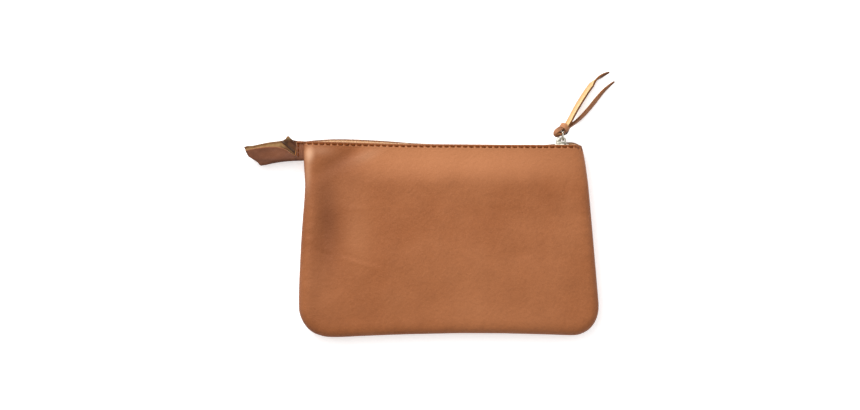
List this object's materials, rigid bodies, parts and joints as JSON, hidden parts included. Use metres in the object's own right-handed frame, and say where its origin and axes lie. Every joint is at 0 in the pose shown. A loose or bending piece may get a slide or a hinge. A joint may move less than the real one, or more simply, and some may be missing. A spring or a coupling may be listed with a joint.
{
  "type": "zippered pouch",
  "caption": "Small flat leather zip pouch with a rounded base, a running slider with a leather lace pull, and a folded leather tab on the tail of the zip.",
  "frame": {"origin": "on the resting face of the back panel, near its middle", "axes": "+X along the zip towards its closed end, +Y towards the mouth, +Z out through the front panel"},
  "size_m": [0.2231, 0.1624, 0.016],
  "materials": {
    "shell_leather": "soft tan full-grain leather, low sheen",
    "tab_leather": "the same tan leather, grain side out, in shade",
    "lace_leather": "narrow leather lace, grain one side and pale flesh the other",
    "tape_cotton": "woven beige zip tape",
    "zip_metal": "nickel-plated teeth and stops",
    "slider_metal": "polished nickel slider and ring",
    "thread_brown": "dark brown waxed thread",
    "thread_tan": "tan polyester thread"
  },
  "bodies": {
    "root": {"front_panel": "shell_leather", "back_panel": "shell_leather", "seam_thread": "thread_tan", "front_zip_tape": "tape_cotton", "back_zip_tape": "tape_cotton", "front_teeth": "zip_metal", "back_teeth": "zip_metal", "top_stop_front": "zip_metal", "top_stop_back": "zip_metal", "bottom_stop": "zip_metal", "zip_tab": "tab_leather", "front_topstitch": "thread_brown", "back_topstitch": "thread_brown", "tab_stitch": "thread_brown"},
    "slider": {"slider_body": "slider_metal"},
    "ring": {"pull_ring": "slider_metal"},
    "lace": {"lace_hitch": "lace_leather", "lace_tail_long": "lace_leather", "lace_tail_short": "lace_leather"}
  },
  "joints": [
    {"name": "slider_slide", "type": "slide", "parent": "root", "child": "slider", "axis": [1, 0, 0], "range_m": [-0.135, 0], "deforming": ["front_teeth", "back_teeth"]},
    {"name": "ring_swing", "type": "hinge", "parent": "slider", "child": "ring", "pos_m": [0.0676, 0.0601, 0.008], "axis": [0, 0, 1], "range_deg": [-35, 38]},
    {"name": "lace_swivel", "type": "hinge", "parent": "ring", "child": "lace", "pos_m": [0.06713, 0.06548, 0.008], "axis": [0, 0, 1], "range_deg": [-12, 40]}
  ]
}
